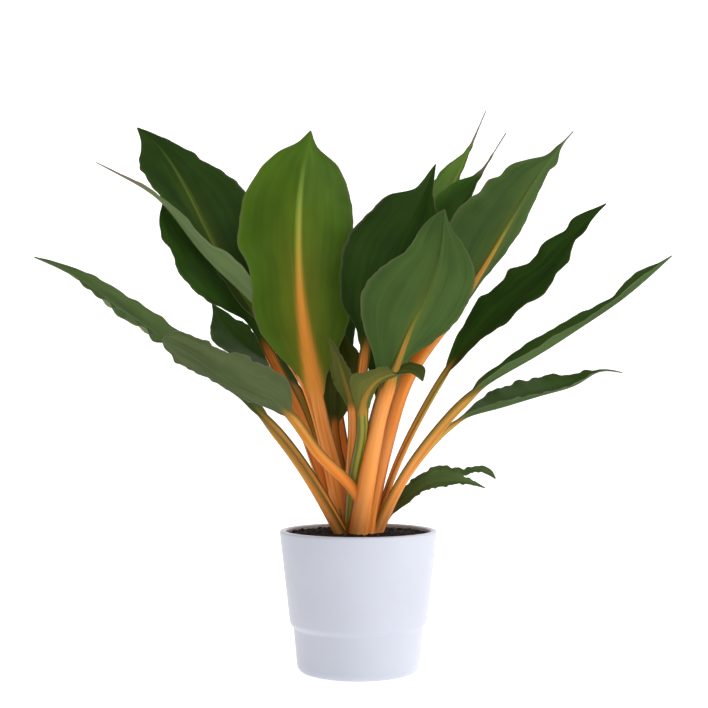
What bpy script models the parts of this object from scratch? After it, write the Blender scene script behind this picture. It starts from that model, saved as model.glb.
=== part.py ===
"""Potted chlorophytum: a stepped plastic pot, its soil, the crown with its petioles, and the blades.

Metres, +Z up. The origin is the middle of the pot's flat underside, and the front looks to -Y.
Every leaf follows a route, its keel line from the crown to the tip of its blade. The petiole
lies under the keel, and goes on as a tapering midrib under the blade.
"""
import math
from dataclasses import dataclass

import bmesh
import bpy
import numpy as np

# Pot, turned about Z, from the rim down
RIM_RADIUS = 0.065
RIM_HEIGHT = 0.114
LIP_WIDTH = 0.0055
LIP_HEIGHT = 0.004
STEP_TOP = 0.039
STEP_TOP_RADIUS = 0.0562
STEP_FOOT = 0.035
STEP_FOOT_RADIUS = 0.0532
BASE_RADIUS = 0.0497
BASE_ROUND = 0.0065
LIP_RUN_OUT = 0.002
WALL = 0.0028
FLOOR = 0.004
SIDES = 40

# Soil, with a plain hole for the crown
SOIL_TOP = 0.1105
SOIL_MOUND = 0.0008
HOLE_RADIUS = 0.0248
HOLE_FLOOR = 0.086
GAP = 0.0003

# Crown, the short stem under the soil's surface that every petiole grows from
CROWN_RADIUS = 0.0243
CROWN_TOP = 0.109
CROWN_BEVEL = 0.002
CROWN_SIDES = 36
ROOT_DEPTH = 0.014
ROOT_DRAW = 0.85

# Blades
BLADE_THICKNESS = 0.0008
TIP_HALF_WIDTH = 0.0005
ROW_PITCH = 0.0085
FEWEST_ROWS = 12
MOST_ROWS = 20
END_CROWDING = 0.2
BLADE_LINES = (-1.0, -0.5, 0.0, 0.5, 1.0)
SIDE_LAG = 0.37
WAVE_START_STEP = 0.38
TWIST_SPAN = (0.4, 0.8)
MM = 0.001

# Petioles and midribs. A section point is its place across, whether it lies on a raised edge of the
# channel on top, and how far down it lies, as shares of the half width and of the depth.
STALK_ROWS = 5
STALK_SECTION = ((-1.0, 1, 0.0), (0.0, 0, 0.0), (1.0, 1, 0.0), (0.75, 0, -0.7), (0.0, 0, -1.0),
                 (-0.75, 0, -0.7))
STALK_AT_FOOT = 1.25
STALK_AT_BLADE = 0.8
STALK_TAPER = 0.7
CHANNEL_SHARE = 0.5
RIB_SHARE = 0.42
RIB_HALF_WIDTH = 0.0007
RIB_TAPER = 1.5
RIB_DEEPER = 0.25

# Smoothing
LINE_POINTS = 400
SHARP_LEAF = 50.0
SHARP_TURNED = 30.0


@dataclass(frozen=True)
class Leaf:
    """One leaf: where it runs and how its blade is shaped."""

    place: str  # where the leaf stands, which names its node
    route: tuple  # keel line from the crown to the tip, metres
    blade_from: float  # share of the route at which the blade starts
    left: tuple  # half widths in mm at even steps of the blade, base to tip, on the left side
    right: tuple  # the same on the right, seen with the upper side in front and the tip up
    stalk: float  # width of the petiole near its foot
    faces: tuple  # compass angles of the upper side at foot, middle and tip, degrees from +X
    rise: float = 35.0  # how far up the upper side is turned, degrees
    twist: float = 0.0  # how far the blade turns over towards its tip, degrees
    fold: float = 12.0  # how far each half is folded up from the midrib, degrees
    waves: float = 4.0  # waves along each edge
    wave: float = 2.0  # their height in mm


def oval(width):
    """Half widths of a plain blade in mm, from its base to its tip, for a widest half width."""
    shares = (0.12, 0.3, 0.56, 0.8, 0.94, 1.0, 0.97, 0.85, 0.62, 0.3, 0.02)
    return tuple(width * share for share in shares)


LEAVES = (
    Leaf("front_tall",
         ((-0.010, 0.006, 0.111), (-0.021, 0.014, 0.162), (-0.031, 0.020, 0.202), (-0.038, 0.023, 0.236),
          (-0.049, 0.025, 0.306), (-0.051, 0.024, 0.358), (-0.049, 0.024, 0.405), (-0.041, 0.028, 0.453)),
         blade_from=0.31, stalk=0.0125, faces=(80, 88, 95), fold=8.0,
         left=(5, 8, 12, 20, 28, 35, 39, 40, 40, 41, 42, 44, 46, 47, 47, 45, 43, 38, 30, 8.5, 0.5),
         right=(5, 7, 10, 17, 26, 34, 40, 43, 43.5, 43, 44, 49, 54, 52, 51, 48, 41.5, 34, 24, 8.5, 0.5)),
    Leaf("back_left",
         ((-0.009, 0.014, 0.111), (-0.024, 0.036, 0.187), (-0.060, 0.062, 0.256), (-0.106, 0.084, 0.321),
          (-0.142, 0.096, 0.384), (-0.169, 0.103, 0.435), (-0.185, 0.106, 0.457), (-0.205, 0.108, 0.475)),
         blade_from=0.48, stalk=0.011, faces=(300, 280, 275), wave=1.4,
         left=(5, 7, 9, 10, 10, 11, 12, 14, 16, 18, 20, 21, 23, 28, 31, 32, 32, 29, 18.5, 8.5, 0.5),
         right=(5, 8, 12, 18, 24, 30, 36, 41, 45, 48, 50, 49, 45, 40, 33, 26.5, 21, 14.5, 9, 5, 0.5)),
    Leaf("left_edge",
         ((-0.016, 0.005, 0.111), (-0.031, 0.030, 0.187), (-0.063, 0.050, 0.270), (-0.096, 0.059, 0.311),
          (-0.140, 0.060, 0.354), (-0.178, 0.057, 0.400), (-0.208, 0.052, 0.4185), (-0.230, 0.048, 0.430)),
         blade_from=0.42, stalk=0.010, faces=(0, 0, 0), fold=35.0, wave=1.4,
         left=(5, 8, 12, 18, 24, 27, 28, 28, 26, 23, 19, 16, 14, 11, 8, 6, 6, 3.5, 2.4, 1.6, 0.4),
         right=(4, 6, 8, 10, 12, 12, 12, 12, 11, 10, 9, 8, 7, 6, 5, 3, 3, 1.5, 1, 0.7, 0.4)),
    Leaf("left_dark",
         ((-0.011, 0.011, 0.111), (-0.035, 0.032, 0.162), (-0.052, 0.050, 0.207), (-0.080, 0.074, 0.264),
          (-0.111, 0.094, 0.322), (-0.141, 0.104, 0.353), (-0.167, 0.112, 0.384), (-0.182, 0.116, 0.405)),
         blade_from=0.50, stalk=0.011, faces=(300, 280, 275), wave=1.2,
         left=(4, 4.5, 5, 6.5, 9, 18, 25, 32, 34, 37, 38, 37, 35.5, 31.5, 26.5, 23.5, 24.5, 20.5, 16,
               9.5, 0.5),
         right=(4, 5, 7, 9, 12, 15, 17, 19, 20, 21, 22, 22, 21, 20, 19, 17, 14, 11, 8, 6, 0.5)),
    Leaf("left_low_far",
         ((-0.0155, -0.008, 0.111), (-0.0375, -0.020, 0.152), (-0.069, -0.027, 0.198), (-0.107, -0.031, 0.236),
          (-0.148, -0.042, 0.266), (-0.188, -0.052, 0.293), (-0.225, -0.058, 0.3185), (-0.254, -0.062, 0.332)),
         blade_from=0.32, stalk=0.0115, faces=(330, 290, 290), rise=60.0, wave=1.2,
         left=(5, 8, 8, 10, 15, 18, 18.5, 18, 18, 17, 16.5, 14, 15.5, 16.5, 14, 8.5, 4, 1.6, 1, 0.8, 0.4),
         right=(5, 7, 9, 12, 16, 19, 20, 20, 19.5, 19, 20, 18.5, 17.5, 17, 17.5, 15, 12.5, 9, 7, 4.5,
                0.4)),
    Leaf("left_low_near",
         ((0.004, -0.009, 0.111), (0.000, -0.017, 0.138), (-0.033, -0.032, 0.177), (-0.060, -0.046, 0.213),
          (-0.085, -0.058, 0.226), (-0.107, -0.068, 0.239), (-0.126, -0.076, 0.253), (-0.150, -0.082, 0.267)),
         blade_from=0.50, stalk=0.0095, faces=(60, 80, 80), wave=1.2,
         left=(4, 8, 15, 22, 26, 26, 27, 26, 26, 26, 27, 25, 20, 18.5, 17, 17.5, 15, 13.5, 13, 11, 1),
         right=(6, 7, 7, 8, 8.5, 9.5, 11, 11, 9, 9.5, 9.5, 10, 10, 12.5, 14.5, 15.5, 16, 16, 10.5, 9, 1)),
    Leaf("left_back_low",
         ((-0.006, 0.016, 0.111), (-0.022, 0.038, 0.160), (-0.038, 0.060, 0.189), (-0.051, 0.084, 0.222),
          (-0.067, 0.100, 0.247), (-0.092, 0.112, 0.263), (-0.117, 0.122, 0.283), (-0.137, 0.130, 0.313)),
         blade_from=0.55, stalk=0.009, faces=(310, 300, 290), wave=1.2,
         left=(4, 6, 8, 10, 12, 14, 16, 18, 20, 21, 22, 23, 24, 25.5, 27.5, 24.5, 19, 13, 7, 3, 0.4),
         right=(4, 5, 6, 7.5, 9, 10.5, 12, 13, 14, 15, 16, 16.5, 17, 18, 19, 18.5, 13, 10.5, 7.5, 4,
                0.4)),
    Leaf("centre_dark",
         ((-0.003, 0.002, 0.111), (0.000, 0.006, 0.190), (0.007, 0.006, 0.269), (0.022, 0.005, 0.325),
          (0.036, 0.008, 0.357), (0.051, 0.012, 0.386), (0.066, 0.018, 0.422)),
         blade_from=0.46, stalk=0.009, faces=(270, 270, 270), wave=1.0,
         left=(3, 7, 10, 17, 27, 31, 34.5, 37, 39.5, 41, 41.5, 39.5, 36, 33, 31, 28, 18, 8, 5, 3, 0.4),
         right=(3, 6, 11, 17, 22, 26, 29, 31, 32, 32, 32, 31, 30, 28, 26, 22, 13.5, 8, 5, 2.5, 0.4)),
    Leaf("front_broad",
         ((0.0005, -0.014, 0.111), (0.006, -0.024, 0.145), (0.0115, -0.031, 0.178), (0.022, -0.037, 0.224),
          (0.032, -0.041, 0.252), (0.043, -0.046, 0.280), (0.057, -0.053, 0.311), (0.065, -0.056, 0.340),
          (0.068, -0.052, 0.371)),
         blade_from=0.45, stalk=0.016, faces=(90, 95, 90), fold=10.0, wave=1.0,
         left=(3, 4, 5, 7, 9.5, 16, 22.5, 27, 31.5, 34.5, 36.5, 37.5, 37, 36, 34, 29, 23, 15, 7, 3, 0.5),
         right=(6, 12, 17, 22, 28, 35, 40, 45, 47.5, 47.5, 46, 44, 40.5, 36, 30, 25.5, 23, 20, 16.5,
                10.5, 0.5)),
    Leaf("front_small",
         ((-0.006, -0.004, 0.111), (-0.0045, -0.009, 0.140), (-0.0007, -0.022, 0.170), (0.0035, -0.037, 0.200),
          (0.0043, -0.046, 0.220), (0.0082, -0.052, 0.228), (0.0143, -0.060, 0.2349), (0.0234, -0.069, 0.2393),
          (0.0339, -0.077, 0.2421), (0.0429, -0.082, 0.2411), (0.0488, -0.084, 0.2342)),
         blade_from=0.57, stalk=0.010, faces=(90, 90, 80), twist=-165, wave=1.0,
         left=(5.5, 6, 6, 5, 4, 3.5, 3.5, 6, 8, 8, 0.5),
         right=(5.5, 7, 13, 18, 12, 9, 7, 5, 3.5, 3, 0.5)),
    Leaf("centre_young",
         ((-0.005, -0.002, 0.111), (-0.007, 0.000, 0.163), (-0.005, -0.002, 0.205), (-0.007, -0.003, 0.222),
          (-0.012, -0.004, 0.239), (-0.017, -0.006, 0.255), (-0.025, -0.008, 0.273)),
         blade_from=0.62, stalk=0.007, faces=(90, 90, 90), wave=0.8,
         left=(3, 5, 6, 7, 8, 7, 5, 4, 3, 2, 0.4), right=(3, 5, 7, 9, 10, 10, 9, 6, 4, 2, 0.4)),
    Leaf("centre_olive",
         ((-0.008, 0.009, 0.111), (-0.013, 0.022, 0.155), (-0.020, 0.032, 0.200), (-0.0185, 0.040, 0.228),
          (-0.0165, 0.046, 0.254), (-0.016, 0.050, 0.285)),
         blade_from=0.52, stalk=0.007, faces=(270, 270, 270), wave=1.0,
         left=(3, 6, 10, 12, 13, 13, 13, 12, 9, 5, 0.5), right=(4, 9, 14, 17, 19, 20, 20, 19, 13, 6,
               0.5)),
    Leaf("top_light",
         ((0.006, 0.012, 0.111), (0.018, 0.026, 0.170), (0.034, 0.043, 0.238), (0.053, 0.060, 0.309),
          (0.074, 0.074, 0.388), (0.088, 0.080, 0.420), (0.102, 0.084, 0.451), (0.117, 0.088, 0.486)),
         blade_from=0.50, stalk=0.010, faces=(300, 290, 290), wave=1.2,
         left=(5, 7, 10, 13, 16, 18, 20, 21, 22, 22, 22, 21, 17, 15.5, 11, 6, 2.2, 1.2, 0.6, 0.4, 0.3),
         right=(5, 7, 10, 13, 15, 16, 16, 15, 14, 11, 8, 6.5, 3.5, 3, 2.4, 2, 1.4, 0.9, 0.5, 0.4, 0.3)),
    Leaf("top_dark",
         ((0.011, 0.006, 0.111), (0.022, 0.014, 0.171), (0.040, 0.026, 0.238), (0.062, 0.038, 0.307),
          (0.082, 0.050, 0.366), (0.096, 0.055, 0.398), (0.112, 0.060, 0.427), (0.132, 0.064, 0.460)),
         blade_from=0.50, stalk=0.010, faces=(250, 260, 260), wave=1.2,
         left=(5, 8, 12, 16, 19, 22, 24, 26, 27, 27, 27, 26, 24, 20, 13, 4.5, 1.6, 0.8, 0.5, 0.4, 0.3),
         right=(5, 8, 12, 15, 18, 19, 20, 19, 18, 15, 12, 8, 4, 2.6, 1.6, 1.4, 1.0, 0.8, 0.5, 0.4, 0.3)),
    Leaf("right_tall",
         ((0.0075, -0.007, 0.111), (0.0155, -0.008, 0.152), (0.026, -0.007, 0.194), (0.0415, -0.005, 0.239),
          (0.076, 0.000, 0.289), (0.106, 0.004, 0.333), (0.123, 0.006, 0.362), (0.145, 0.010, 0.400),
          (0.166, 0.016, 0.430), (0.184, 0.022, 0.451)),
         blade_from=0.49, stalk=0.015, faces=(100, 90, 90), fold=20.0, wave=1.2,
         left=(3, 3.5, 5, 5.5, 5.5, 7, 9, 11, 12.6, 13.6, 15.5, 14.4, 13.2, 12.2, 11.2, 9.5, 8, 10.5, 3,
               0.8, 0.4),
         right=(7, 13, 20, 27, 34, 39, 42, 44, 44, 43, 40, 35, 34, 27, 25, 18.5, 9, 3.5, 2, 0.7, 0.4)),
    Leaf("right_dark",
         ((0.014, -0.002, 0.111), (0.032, -0.004, 0.166), (0.052, -0.007, 0.208), (0.074, -0.010, 0.246),
          (0.097, -0.016, 0.277), (0.134, -0.022, 0.310), (0.159, -0.028, 0.334), (0.179, -0.032, 0.357),
          (0.200, -0.034, 0.379)),
         blade_from=0.43, stalk=0.006, faces=(180, 250, 260), waves=5.0, wave=1.6,
         left=(3, 5.5, 8.5, 11.5, 14.5, 16, 19, 20.5, 20, 19.5, 21.5, 19, 15, 16, 16.5, 14.5, 10.5, 12,
               9, 4.5, 0.4),
         right=(5, 7, 8, 9, 12, 15, 16.5, 18, 17.5, 16.5, 18.5, 19.5, 17.5, 13, 13, 7, 3, 4.5, 1.5, 0.6,
                0.4)),
    Leaf("right_long",
         ((0.0165, -0.001, 0.111), (0.0345, -0.013, 0.151), (0.066, -0.024, 0.198), (0.092, -0.031, 0.2258),
          (0.138, -0.043, 0.254), (0.178, -0.052, 0.2795), (0.205, -0.057, 0.298), (0.245, -0.062, 0.333)),
         blade_from=0.42, stalk=0.0105, faces=(180, 180, 180), fold=40.0, wave=0.7,
         left=(5, 9, 11, 12, 14, 15, 16, 17, 17, 16, 14.5, 13.5, 12, 11, 9, 10, 12.5, 13, 10, 4, 0.4),
         right=(5, 7, 9, 10, 11, 11, 11, 11, 11, 10, 8, 7, 7, 7, 6, 7, 9, 8, 5, 3, 0.4)),
    Leaf("right_low",
         ((0.016, 0.003, 0.111), (0.036, 0.006, 0.149), (0.061, 0.010, 0.183), (0.089, 0.015, 0.206),
          (0.114, 0.020, 0.2133), (0.138, 0.024, 0.220), (0.166, 0.030, 0.2278), (0.190, 0.034, 0.236),
          (0.207, 0.037, 0.2455), (0.228, 0.040, 0.2450)),
         blade_from=0.42, stalk=0.006, faces=(180, 190, 200), fold=36.0, waves=6.0, wave=0.9,
         left=(4, 5, 9, 15, 21, 25, 26, 27, 28, 29, 26, 26.5, 23.5, 21, 16.5, 12.5, 9, 4, 2, 1.2, 0.4),
         right=(4, 5, 6, 7, 8, 9, 9, 8, 6, 5, 4, 3, 3, 3.5, 4, 4, 3, 2, 1.5, 1, 0.4)),
    Leaf("right_lowest_back",
         ((0.014, 0.013, 0.111), (0.024, 0.022, 0.125), (0.039, 0.030, 0.141), (0.056, 0.037, 0.154),
          (0.072, 0.043, 0.159), (0.090, 0.048, 0.158), (0.106, 0.052, 0.160), (0.120, 0.055, 0.153)),
         blade_from=0.14, stalk=0.006, faces=(180, 230, 250), wave=1.0,
         left=(4, 6, 6, 6, 7, 6, 6, 7, 6, 6.5, 7.5, 8, 6, 5.5, 6, 4.5, 4.5, 4.5, 5, 4, 0.4),
         right=(4, 7, 9, 11, 12, 13, 14, 14, 14, 13, 12, 10, 8, 6, 4, 3, 2, 1.5, 1.5, 1, 0.4)),
    Leaf("right_lowest_front",
         ((0.017, 0.005, 0.111), (0.023, 0.007, 0.122), (0.038, 0.009, 0.136), (0.056, 0.012, 0.149),
          (0.073, 0.015, 0.153), (0.090, 0.018, 0.152), (0.107, 0.020, 0.147)),
         blade_from=0.14, stalk=0.006, faces=(200, 240, 250), wave=1.0,
         left=(4, 6, 8, 10, 10, 10, 11, 12, 11.5, 11, 12, 14, 15, 14, 12, 9, 5, 4, 3, 1.5, 0.4),
         right=(2, 4, 4, 5, 6, 5, 4.5, 5, 5, 6.5, 6.5, 6, 7, 6, 4, 3, 2.5, 1.5, 1, 0.6, 0.4)),
    Leaf("back",
         ((-0.003, 0.016, 0.111), (-0.011, 0.050, 0.161), (-0.021, 0.090, 0.222), (-0.036, 0.130, 0.297),
          (-0.046, 0.160, 0.348), (-0.052, 0.185, 0.381)),
         blade_from=0.42, stalk=0.011, faces=(270, 270, 270), left=oval(35), right=oval(35)),
    Leaf("back_right",
         ((0.003, 0.016, 0.111), (0.012, 0.045, 0.169), (0.024, 0.080, 0.231), (0.039, 0.110, 0.287),
          (0.049, 0.135, 0.326), (0.055, 0.150, 0.352)),
         blade_from=0.42, stalk=0.011, faces=(270, 260, 260), left=oval(30), right=oval(30)),
    Leaf("back_far_right",
         ((0.009, 0.013, 0.111), (0.023, 0.040, 0.187), (0.046, 0.075, 0.257), (0.076, 0.105, 0.314),
          (0.096, 0.130, 0.349), (0.113, 0.150, 0.381)),
         blade_from=0.42, stalk=0.011, faces=(250, 240, 240), left=oval(32), right=oval(32)),
)


def unit(vectors):
    """The vectors with length 1."""
    return vectors / np.linalg.norm(vectors, axis=-1, keepdims=True)


def smooth_line(points):
    """Close points on a natural cubic spline through the given points, and their distances along it."""
    points = np.array(points)
    knots = np.r_[0.0, np.cumsum(np.linalg.norm(np.diff(points, axis=0), axis=1))]
    spans = np.diff(knots)
    last = len(points) - 1
    system = np.eye(len(points))
    right = np.zeros_like(points)
    for i in range(1, last):
        system[i, i - 1:i + 2] = spans[i - 1], 2 * (spans[i - 1] + spans[i]), spans[i]
        right[i] = 6 * ((points[i + 1] - points[i]) / spans[i] - (points[i] - points[i - 1]) / spans[i - 1])
    bends = np.linalg.solve(system, right)
    at = np.linspace(0.0, knots[-1], LINE_POINTS)
    i = np.clip(np.searchsorted(knots, at, side="right") - 1, 0, last - 1)
    span = spans[i][:, None]
    start = (knots[i + 1] - at)[:, None] / span
    end = 1.0 - start
    line = start * points[i] + end * points[i + 1]
    line += ((start**3 - start) * bends[i] + (end**3 - end) * bends[i + 1]) * span**2 / 6
    run = np.r_[0.0, np.cumsum(np.linalg.norm(np.diff(line, axis=0), axis=1))]
    return line, run


def leaf_frames(leaf, shares):
    """Keel points with the directions along, across and out of the upper side, at shares of the route."""
    line, run = smooth_line(leaf.route)
    run = run / run[-1]
    ahead = np.gradient(line, run, axis=0)
    keel = np.stack([np.interp(shares, run, line[:, axis]) for axis in range(3)], axis=-1)
    along = unit(np.stack([np.interp(shares, run, ahead[:, axis]) for axis in range(3)], axis=-1))
    turns = np.polyfit((0.0, (1.0 + leaf.blade_from) / 2, 1.0), leaf.faces, 2)
    t = (shares - leaf.blade_from) / (1.0 - leaf.blade_from)
    turned_over = np.clip((t - TWIST_SPAN[0]) / (TWIST_SPAN[1] - TWIST_SPAN[0]), 0, 1)
    turned_over = turned_over**2 * (3 - 2 * turned_over)
    compass = np.radians(np.polyval(turns, shares) + leaf.twist * turned_over)
    rise = math.radians(leaf.rise)
    upper = np.stack([np.cos(compass) * math.cos(rise), np.sin(compass) * math.cos(rise),
                      np.full_like(compass, math.sin(rise))], axis=-1)
    across = unit(np.cross(along, upper))
    return keel, along, across, np.cross(across, along)


def edge_wave(leaf, t, lag):
    """The wave along one edge, from -1 to 1, at shares t of the blade. Each leaf's wave starts elsewhere."""
    start = LEAVES.index(leaf) * WAVE_START_STEP + lag
    return np.sin(2 * math.pi * (leaf.waves * t + start))


def through(places, values):
    """A smooth line through values at even steps from 0 to 1, which never swings past them."""
    knots = np.array(values, float)
    step = np.diff(knots)
    same_way = step[1:] * step[:-1] > 0
    inner = np.where(same_way, 2 * step[1:] * step[:-1] / (step[1:] + step[:-1] + 1e-12), 0.0)
    slope = np.r_[step[0], inner, step[-1]]
    at = np.clip(places, 0.0, 1.0) * (len(knots) - 1)
    i = np.minimum(at.astype(int), len(knots) - 2)
    k = at - i
    return ((2 * k**3 - 3 * k**2 + 1) * knots[i] + (k**3 - 2 * k**2 + k) * slope[i]
            + (3 * k**2 - 2 * k**3) * knots[i + 1] + (k**3 - k**2) * slope[i + 1])


def half_width(t, side):
    """Half the blade's width on one side, at shares t of the blade."""
    return np.maximum(through(t, side) * MM, TIP_HALF_WIDTH)


def blade_shares(leaf):
    """Shares of the blade at which its rows lie, closer together at both ends."""
    length = smooth_line(leaf.route)[1][-1] * (1.0 - leaf.blade_from)
    rows = min(max(round(length / ROW_PITCH), FEWEST_ROWS), MOST_ROWS)
    even = np.linspace(0.0, 1.0, rows + 1)
    return (1.0 - END_CROWDING) * even + END_CROWDING * (1.0 - np.cos(math.pi * even)) / 2


def blade_sheet(leaf, t, v):
    """The blade's middle surface: shares t along it by places v across it, -1 and 1 at the edges."""
    shares = leaf.blade_from + (1.0 - leaf.blade_from) * t
    keel, _, across, out = (part[:, None, :] for part in leaf_frames(leaf, shares))
    half = np.where(v < 0, half_width(t, leaf.left)[:, None], half_width(t, leaf.right)[:, None])
    fold = math.radians(leaf.fold)
    lag = np.where(v > 0, SIDE_LAG, 0.0)
    wave = edge_wave(leaf, t[:, None], lag) * v**2
    widest = max(leaf.left + leaf.right) * MM
    lift = half * np.abs(v) * math.sin(fold) + leaf.wave * MM * wave * half / widest
    return keel + across * (half * v * math.cos(fold))[..., None] + out * lift[..., None]


def sheet_normals(sheet):
    """Unit normals of a grid of points, out of its upper side."""
    return unit(np.cross(np.gradient(sheet, axis=1), np.gradient(sheet, axis=0)))


def band(first, second, flip=False):
    """Triangles between two rows of vertex numbers, each quad split along the same diagonal."""
    triangles = []
    for a, b, c, d in zip(first[:-1], second[:-1], second[1:], first[1:]):
        triangles += [(a, c, b), (a, d, c)] if flip else [(a, b, c), (a, c, d)]
    return triangles


def object_from(name, points, triangles, material):
    """A new object from points and triangles."""
    mesh = bpy.data.meshes.new(name)
    mesh.from_pydata(np.asarray(points).reshape(-1, 3).tolist(), [], triangles)
    mesh.materials.append(material)
    mesh.shade_smooth()
    mesh.set_sharp_from_angle(angle=math.radians(SHARP_LEAF))
    obj = bpy.data.objects.new(name, mesh)
    bpy.context.scene.collection.objects.link(obj)
    return obj


def make_blade(leaf, material):
    """The green blade: its middle surface, thickened evenly, split into triangles alike on both faces."""
    sheet = blade_sheet(leaf, blade_shares(leaf), np.array(BLADE_LINES))
    thick = sheet_normals(sheet) * BLADE_THICKNESS / 2
    rows, lines = sheet.shape[:2]
    upper = np.arange(rows * lines).reshape(rows, lines)
    lower = upper + rows * lines
    triangles = []
    for i in range(rows - 1):
        triangles += band(upper[i], upper[i + 1], flip=True)
        triangles += band(lower[i], lower[i + 1])
    triangles += band(upper[0], lower[0])
    triangles += band(upper[-1], lower[-1], flip=True)
    triangles += band(upper[:, 0], lower[:, 0], flip=True)
    triangles += band(upper[:, -1], lower[:, -1])
    return object_from(f"blade_{leaf.place}", (sheet + thick, sheet - thick), triangles, material)


def make_stalk(leaf, material):
    """The petiole, a channel under the keel, from its root in the crown to the midrib's thin end."""
    blade = blade_shares(leaf)
    under = leaf.blade_from + (1.0 - leaf.blade_from) * blade[blade <= RIB_SHARE]
    shares = np.r_[np.linspace(0.0, leaf.blade_from, STALK_ROWS + 1)[:-1], under]
    keel, _, across, out = leaf_frames(leaf, shares)
    foot_to_blade = np.clip(shares / leaf.blade_from, 0, 1)
    along_rib = (shares - leaf.blade_from) / (shares[-1] - leaf.blade_from)
    half = leaf.stalk / 2 * (STALK_AT_FOOT + (STALK_AT_BLADE - STALK_AT_FOOT) * foot_to_blade**STALK_TAPER)
    rib = RIB_HALF_WIDTH + (half - RIB_HALF_WIDTH) * (1.0 - np.clip(along_rib, 0, 1)) ** RIB_TAPER
    half = np.where(along_rib > 0, rib, half)
    deep = half * (1.0 + RIB_DEEPER * np.clip(along_rib, 0, 1))
    channel = half * math.tan(math.radians(leaf.fold)) * CHANNEL_SHARE
    top = -BLADE_THICKNESS / 2 - GAP + deep / 2 * (1.0 - foot_to_blade**2)
    rings = np.stack([keel + across * (half * side)[:, None]
                      + out * (top + channel * raised + deep * down)[:, None]
                      for side, raised, down in STALK_SECTION], axis=1)
    root = rings[:1] * np.array([ROOT_DRAW, ROOT_DRAW, 1.0]) - np.array([0.0, 0.0, ROOT_DEPTH])
    rings = np.concatenate([root, rings])
    corners = np.arange(rings.shape[0] * rings.shape[1]).reshape(rings.shape[:2])
    looped = np.c_[corners, corners[:, 0]]
    triangles = []
    for i in range(len(looped) - 1):
        triangles += band(looped[i], looped[i + 1], flip=True)
    for i in range(1, len(STALK_SECTION) - 1):
        triangles.append((corners[0, 0], corners[0, i + 1], corners[0, i]))
        triangles.append((corners[-1, 0], corners[-1, i], corners[-1, i + 1]))
    return object_from(f"stalk_{leaf.place}", rings, triangles, material)


def turned(name, profile, sides, material):
    """A closed solid turned about Z from a profile of (radius, height) points that ends on the axis."""
    mesh = bmesh.new()
    points = [mesh.verts.new((radius, 0.0, height)) for radius, height in profile]
    edges = [mesh.edges.new(pair) for pair in zip(points[:-1], points[1:])]
    bmesh.ops.spin(mesh, geom=points + edges, cent=(0, 0, 0), axis=(0, 0, 1), angle=2 * math.pi,
                   steps=sides, use_merge=True)
    bmesh.ops.remove_doubles(mesh, verts=mesh.verts, dist=1e-6)
    bmesh.ops.recalc_face_normals(mesh, faces=mesh.faces)
    data = bpy.data.meshes.new(name)
    mesh.to_mesh(data)
    mesh.free()
    data.materials.append(material)
    data.shade_smooth()
    data.set_sharp_from_angle(angle=math.radians(SHARP_TURNED))
    obj = bpy.data.objects.new(name, data)
    bpy.context.scene.collection.objects.link(obj)
    return obj


def arc(centre, radius, start, end, steps):
    """Points (radius, height) along an arc, its angles in degrees from straight out."""
    angles = np.radians(np.linspace(start, end, steps + 1))
    return [(centre[0] + radius * math.cos(a), centre[1] + radius * math.sin(a)) for a in angles]


def outer_radius(height):
    """The pot's outer radius at a height, without its rounded lip and corner."""
    heights = (0.0, STEP_FOOT, STEP_TOP, RIM_HEIGHT)
    return float(np.interp(height, heights, (BASE_RADIUS, STEP_FOOT_RADIUS, STEP_TOP_RADIUS, RIM_RADIUS)))


def inner_radius(height):
    """The radius inside the pot at a height below the lip."""
    return outer_radius(height) - WALL


def make_pot(material):
    """The pot: a tapered shell with a chamfered step low down, a rounded lip and a flat underside."""
    lip_round = LIP_WIDTH / 2
    lip_top = RIM_HEIGHT - lip_round
    lip_inside = RIM_HEIGHT - LIP_HEIGHT
    below_lip = lip_inside - LIP_RUN_OUT
    corner = (outer_radius(BASE_ROUND) - BASE_ROUND, BASE_ROUND)
    profile = [(0.0, 0.0)]
    profile += arc(corner, BASE_ROUND, -90, 0, 3)
    profile += [(STEP_FOOT_RADIUS, STEP_FOOT), (STEP_TOP_RADIUS, STEP_TOP)]
    profile += arc((RIM_RADIUS - lip_round, lip_top), lip_round, 0, 180, 4)
    profile += [(RIM_RADIUS - LIP_WIDTH, lip_inside),
                (inner_radius(below_lip), below_lip),
                (inner_radius(STEP_TOP), STEP_TOP),
                (inner_radius(STEP_FOOT), STEP_FOOT),
                (inner_radius(FLOOR), FLOOR), (0.0, FLOOR)]
    return turned("pot", profile, SIDES, material)


def make_soil(material):
    """The soil: it fills the pot with a small clearance, low mounded on top, with the crown's plain hole."""
    lip_inside = RIM_HEIGHT - LIP_HEIGHT
    below_lip = lip_inside - LIP_RUN_OUT - GAP
    profile = [(0.0, FLOOR + GAP), (inner_radius(FLOOR) - GAP, FLOOR + GAP),
               (inner_radius(STEP_FOOT) - GAP, STEP_FOOT + GAP), (inner_radius(STEP_TOP) - GAP, STEP_TOP + GAP),
               (inner_radius(below_lip) - GAP, below_lip),
               (RIM_RADIUS - LIP_WIDTH - GAP, lip_inside), (RIM_RADIUS - LIP_WIDTH - GAP, SOIL_TOP),
               ((RIM_RADIUS + HOLE_RADIUS) / 2, SOIL_TOP + SOIL_MOUND), (HOLE_RADIUS, SOIL_TOP),
               (HOLE_RADIUS, HOLE_FLOOR), (0.0, HOLE_FLOOR)]
    return turned("soil", profile, SIDES, material)


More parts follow.
